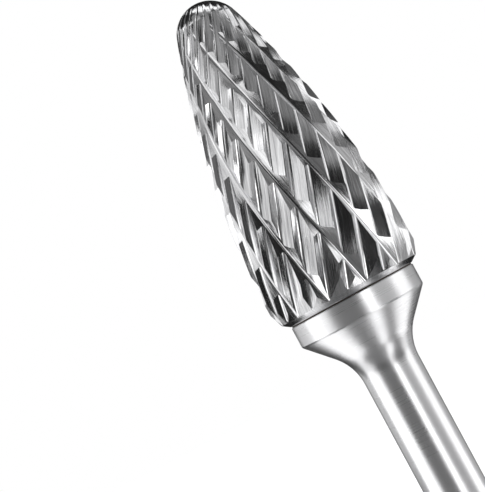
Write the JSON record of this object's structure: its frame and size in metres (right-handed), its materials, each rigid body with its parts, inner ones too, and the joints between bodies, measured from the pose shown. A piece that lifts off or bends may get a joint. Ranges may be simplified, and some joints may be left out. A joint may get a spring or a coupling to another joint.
{
  "type": "carbide burr",
  "caption": "Rotary burr with a double-cut tree-shaped carbide head and ball nose, brazed to a flared steel shank that a collet grips",
  "frame": {"origin": "centre of the shank's free end face, on the tool's axis", "axes": "+Z runs along the tool's axis from the shank's free end to the nose; +X and +Y are square to it, and a flute's gullet meets the head's back face on +X"},
  "size_m": [0.0168, 0.0168, 0.0794],
  "materials": {
    "carbide": "sintered carbide with ground, polished tooth faces",
    "braze": "dull brazing metal",
    "steel": "ground and satin polished"
  },
  "bodies": {
    "root": {"cutting_head": "carbide", "braze_layer": "braze", "shank": "steel"}
  },
  "joints": []
}
